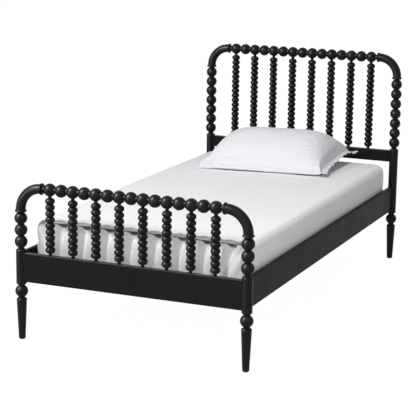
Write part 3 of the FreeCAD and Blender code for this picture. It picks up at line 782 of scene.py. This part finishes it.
def caseDetail(points):
    # gathers run in from both end seams, the right end is crumpled, the underside bellies
    # out below the front seam with the end of the envelope flap on it, the front left
    # corner is full and the back right one droops
    form = pillowForm
    local = pickedUp(points)
    # views: each step below starts from where the step before left the points
    x, y, z = local.T
    toEnd = form["halfWidth"] - np.abs(x - form["skew"] * y / form["halfDepth"])
    fromEnd = smooth(toEnd, *form["endRamp"])
    inside = smooth(toEnd, *form["insideRamp"])
    seamSlope = form["seamBack"] - form["seamFront"]
    seam = form["seamFront"] + seamSlope * (y / form["halfDepth"] + 1) / 2
    over = smooth(z - seam, *form["overSeam"])

    fan = y * (1 + form["gatherFan"] * np.clip(toEnd, 0, 1)) + waves(local, *form["gatherDrift"])
    gathers = form["gather"] * np.cos(2 * np.pi * fan / form["gatherLength"])
    gathers = gathers * np.exp(-np.clip(toEnd, 0, 1) / form["gatherReach"])
    patch = smooth(waves(local, *form["gatherPatches"]), *form["gatherRamp"])
    gathers = gathers * fromEnd * patch
    creases = 1 - np.abs(waves(local, *form["crumpleWaves"]))
    creases = form["crumple"] * creases * smooth(x, *form["crumpleRamp"]) * fromEnd
    local[:, 2] += over * (gathers + creases) - form["gatherUnder"] * (1 - over) * gathers

    full = np.clip(1 - np.abs(x / form["halfWidth"]) ** form["fullness"], 0, 1)
    frontEdge = -form["halfDepth"] + form["drawnIn"] * np.sqrt(full)
    behind = np.clip(y - frontEdge, 0, None)
    shallow = 1 - np.clip(behind / form["bellyDepth"], 0, 1)
    down = np.sqrt(np.clip(1 - shallow ** 2, 0, 1))
    onFloor = -form["lift"]
    under = (1 - over) * inside * falling(behind, 3 * form["bellyDepth"], form["bellyDepth"])
    sunk = z + (seam - z) * (1 - down) + (onFloor - z) * down
    local[:, 2] += under * np.minimum(0, sunk - z)

    height = np.clip((z - onFloor) / (form["seamFront"] - onFloor), 0, 1)
    nearFront = inside * falling(behind, form["bellyDepth"], 0.0)
    local[:, 1] -= form["belly"] * nearFront * 4 * height * (1 - height)
    groove = bell(z, form["seamFront"], form["seamWidth"])
    local[:, 1] += form["seamGroove"] * nearFront * groove

    flap = smooth(x, *form["flapFrom"]) * falling(x, *form["flapTo"])
    flap = flap * falling(behind, *form["flapEdge"]) * (1 - over)
    local[:, 2] -= form["flapDrop"] * flap
    local[:, 1] -= form["flapDrop"] * flap

    away = np.hypot(x + form["halfWidth"] + form["skew"], y + form["halfDepth"])
    corner = bell(away, 0, form["cornerReach"])
    local[:, 0] -= form["cornerOut"] * corner
    local[:, 2] += form["cornerUp"] * corner * (2 * over - 1)
    return laidDown(droopTip(local))


def meshPoints(piece):
    points = np.empty(len(piece.data.vertices) * 3)
    piece.data.vertices.foreach_get("co", points)
    return points.reshape(-1, 3)


def setPoints(piece, points):
    piece.data.vertices.foreach_set("co", points.reshape(-1))
    piece.data.update()


def plump(piece, form):
    # cloth under pressure from inside, let out a little so that it wrinkles, and held
    # within a few millimetres of where it starts
    rest = meshPoints(piece)
    cloth = piece.modifiers.new("plump", "CLOTH")
    cloth.settings.quality = form["quality"]
    cloth.settings.use_pressure = True
    cloth.settings.uniform_pressure_force = form["pressure"]
    cloth.settings.shrink_min = -form["looseness"]
    cloth.settings.effector_weights.gravity = 0.0
    cloth.point_cache.frame_start, cloth.point_cache.frame_end = 1, form["frames"]
    for step in range(1, form["frames"] + 1):
        bpy.context.scene.frame_set(step)
    applyModifiers(piece)
    bpy.context.scene.frame_set(1)
    moved = meshPoints(piece) - rest
    far = np.linalg.norm(moved, axis=1, keepdims=True)
    setPoints(piece, rest + moved * np.minimum(1, form["mostMove"] / np.maximum(far, 1e-9)))


u = np.sin(np.linspace(-np.pi / 2, np.pi / 2, pillowForm["widthSteps"] + 1))
shares = np.linspace(0, 1, pillowForm["arcSteps"] + 1)
loops = laidDown(pillowSections(u, shares, pillowForm["slack"]))
rows, columns = loops.shape[:2]
shell = np.concatenate([gridFaces(rows, columns), endCaps(rows, columns)])
pillow = newPiece("pillowInCase", loops, shell, caseCotton, pillowForm["weld"])
remesh = pillow.modifiers.new("evenMesh", "REMESH")
remesh.mode, remesh.voxel_size = "VOXEL", pillowForm["voxel"]
applyModifiers(pillow)
plump(pillow, pillowForm)
finer = pillow.modifiers.new("finer", "SUBSURF")
finer.levels = finer.render_levels = 1
applyModifiers(pillow)
points = caseDetail(meshPoints(pillow))
points[:, 2] = np.maximum(points[:, 2], pillowForm["floor"])
setPoints(pillow, points)
pillow.data.polygons.foreach_set("use_smooth", np.ones(len(pillow.data.polygons), bool))
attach(pillow, "pillow")
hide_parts("pillow")
print("pillow", len(pillow.data.polygons), "faces")

hem = {
    "width": 0.009, "tuck": 0.016, "earWidth": 0.010, "earPower": 6,
    "tipOut": 0.006, "tipPower": 9, "droop": 0.005,
    "thick": 0.0022, "earThick": 0.010, "thickPower": 10, "closePower": 40, "squareness": 0.35,
    "wave": 0.0036, "ripples": 31, "rippleDrift": 0.7, "driftRate": 9,
    "steps": 180, "ringSteps": 28,
}


def hemBand():
    # a flat band along the right end seam: an oval profile carried from the front corner to
    # the back one, wider at the corners, waving up and down and drooping outwards
    form = pillowForm
    share = np.linspace(-1, 1, hem["steps"])[:, None]
    turn = np.linspace(0, 2 * np.pi, hem["ringSteps"], endpoint=False)[None, :]
    outward = (np.cos(turn) + 1) / 2
    endReach = form["halfWidth"] - form["endDrawnIn"] * (1 - share ** 2)
    endReach = endReach + form["ear"] * share ** form["earPower"]
    width = hem["width"] + hem["earWidth"] * share ** hem["earPower"]
    x = endReach - hem["tuck"] + (hem["tuck"] + width) * outward + form["skew"] * share
    y = share * form["halfDepth"] + hem["tipOut"] * share ** hem["tipPower"] * outward
    seam = form["seamFront"] + (form["seamBack"] - form["seamFront"]) * (share + 1) / 2
    drift = hem["rippleDrift"] * np.sin(share * hem["driftRate"])
    ripple = hem["wave"] * np.cos(share * hem["ripples"] + drift) * outward ** 2
    toBack = np.clip(share, 0, 1) ** hem["thickPower"]
    thick = hem["thick"] + hem["earThick"] * toBack * outward
    close = np.sqrt(np.clip(1 - np.abs(share) ** hem["closePower"], 0, 1))
    oval = np.sign(np.sin(turn)) * np.abs(np.sin(turn)) ** hem["squareness"] * close
    z = seam + ripple - hem["droop"] * outward ** 2 + thick / 2 * oval
    return laidDown(droopTip(np.stack([x, y, z], -1)))


hemPoints = hemBand()
hemPoints[..., 2] = np.maximum(hemPoints[..., 2], pillowForm["floor"])
rows, columns = hemPoints.shape[:2]
band = np.concatenate([gridFaces(rows, columns), endCaps(rows, columns)])
pillowHem = newPiece("pillowHem", hemPoints, band, caseCotton)
pillowHem.parent = pillow
print("pillow hem", len(pillowHem.data.polygons), "faces")


studio = {
    "fill": 0.30, "white": (1, 1, 1, 1), "floorReach": 60.0,
    "floorTint": (0.80, 0.80, 0.805, 1), "floorGlow": 1.09, "floorShare": 0.9,
    "lamps": [
        # name, place, aimed at, size, watts, lights surfaces, shows in gloss
        ("keyLight", (-2.4, -3.7, 3.6), (0.0, -0.5, 0.5), 0.8, 76.0, True, False),
        ("highLight", (-0.1, -3.35, 4.7), (0.0, -0.4, 0.5), 0.36, 210.0, True, False),
        ("sideLight", (1.9, -3.2, 1.2), (0.45, -0.7, 0.4), 0.8, 13.0, True, True),
        ("rightLight", (2.6, -0.3, 0.8), (0.48, -0.2, 0.4), 1.2, 2.5, True, False),
        ("softBox", (-2.7, -3.7, 3.95), (0.0, -0.5, 0.55), 1.9, 1400.0, False, True),
        ("stripBox", (-3.4, -4.6, 0.9), (0.0, -0.5, 0.5), 1.6, 250.0, False, True),
    ],
}


def seenRays(tree):
    # 1 for what the camera, a reflection or glass sees, and 0 for light on the object
    path = addNode(tree, "ShaderNodeLightPath").outputs
    seen = mathNode(tree, "MAXIMUM", path["Is Camera Ray"], path["Is Glossy Ray"])
    return mathNode(tree, "MAXIMUM", seen, path["Is Transmission Ray"])


world = bpy.data.worlds.new("studio")
bpy.context.scene.world = world
world.use_nodes = True
tree = world.node_tree
tree.nodes.clear()
lit = addNode(tree, "ShaderNodeBackground", Color=studio["white"], Strength=studio["fill"])
seen = addNode(tree, "ShaderNodeBackground", Color=studio["white"], Strength=1.0)
both = addNode(tree, "ShaderNodeMixShader", i0=seenRays(tree),
               i1=lit.outputs[0], i2=seen.outputs[0])
ends = addNode(tree, "ShaderNodeOutputWorld")
tree.links.new(both.outputs[0], ends.inputs[0])

floorMaterial, tree, shader = newMaterial("paleFloor")
tree.nodes.remove(shader)
matt = addNode(tree, "ShaderNodeBsdfDiffuse", Color=studio["floorTint"])
glow = addNode(tree, "ShaderNodeEmission", Color=studio["white"], Strength=studio["floorGlow"])
share = mathNode(tree, "MULTIPLY", seenRays(tree), studio["floorShare"])
both = addNode(tree, "ShaderNodeMixShader", i0=share, i1=matt.outputs[0], i2=glow.outputs[0])
tree.links.new(both.outputs[0], tree.nodes["Material Output"].inputs[0])
corners = studio["floorReach"] * np.array([[-1, -1, 0], [1, -1, 0], [1, 1, 0], [-1, 1, 0]])
floor = newPiece("floor", corners, np.array([[0, 1, 2, 3]]), floorMaterial)

for name, place, aim, size, watts, diffuse, glossy in studio["lamps"]:
    lamp = bpy.data.lights.new(name, "AREA")
    lamp.energy, lamp.size = watts, size
    holder = bpy.data.objects.new(name, lamp)
    holder.visible_camera = False
    holder.visible_diffuse, holder.visible_glossy = diffuse, glossy
    holder.location = place
    holder.rotation_euler = (Vector(aim) - Vector(place)).to_track_quat("-Z", "Y").to_euler()
    bpy.context.scene.collection.objects.link(holder)

shot = {
    # the place in metres, the turns in degrees, and the lens and the sensor in millimetres
    "place": (2.522094, -6.215628, 1.888215), "yaw": 22.7949, "down": 12.4512, "roll": 0.86185,
    "lens": 129.775, "sensor": 36.0, "farthest": 200,
}
yaw, down, roll = (math.radians(shot[key]) for key in ("yaw", "down", "roll"))
right = Vector((math.cos(yaw), math.sin(yaw), 0))
ahead = Vector((-math.sin(yaw) * math.cos(down), math.cos(yaw) * math.cos(down), -math.sin(down)))
up = right.cross(ahead)
rolledRight = math.cos(roll) * right + math.sin(roll) * up
rolledUp = math.cos(roll) * up - math.sin(roll) * right
cameraData = bpy.data.cameras.new("camera")
cameraData.lens, cameraData.sensor_width = shot["lens"], shot["sensor"]
cameraData.clip_end = shot["farthest"]
camera = bpy.data.objects.new("camera", cameraData)
turned = Matrix((rolledRight, rolledUp, -ahead)).transposed().to_4x4()
camera.matrix_world = Matrix.Translation(shot["place"]) @ turned
bpy.context.scene.collection.objects.link(camera)
bpy.context.scene.camera = camera
bpy.context.scene.view_settings.view_transform = "Standard"
print("floor, lamps and camera placed")
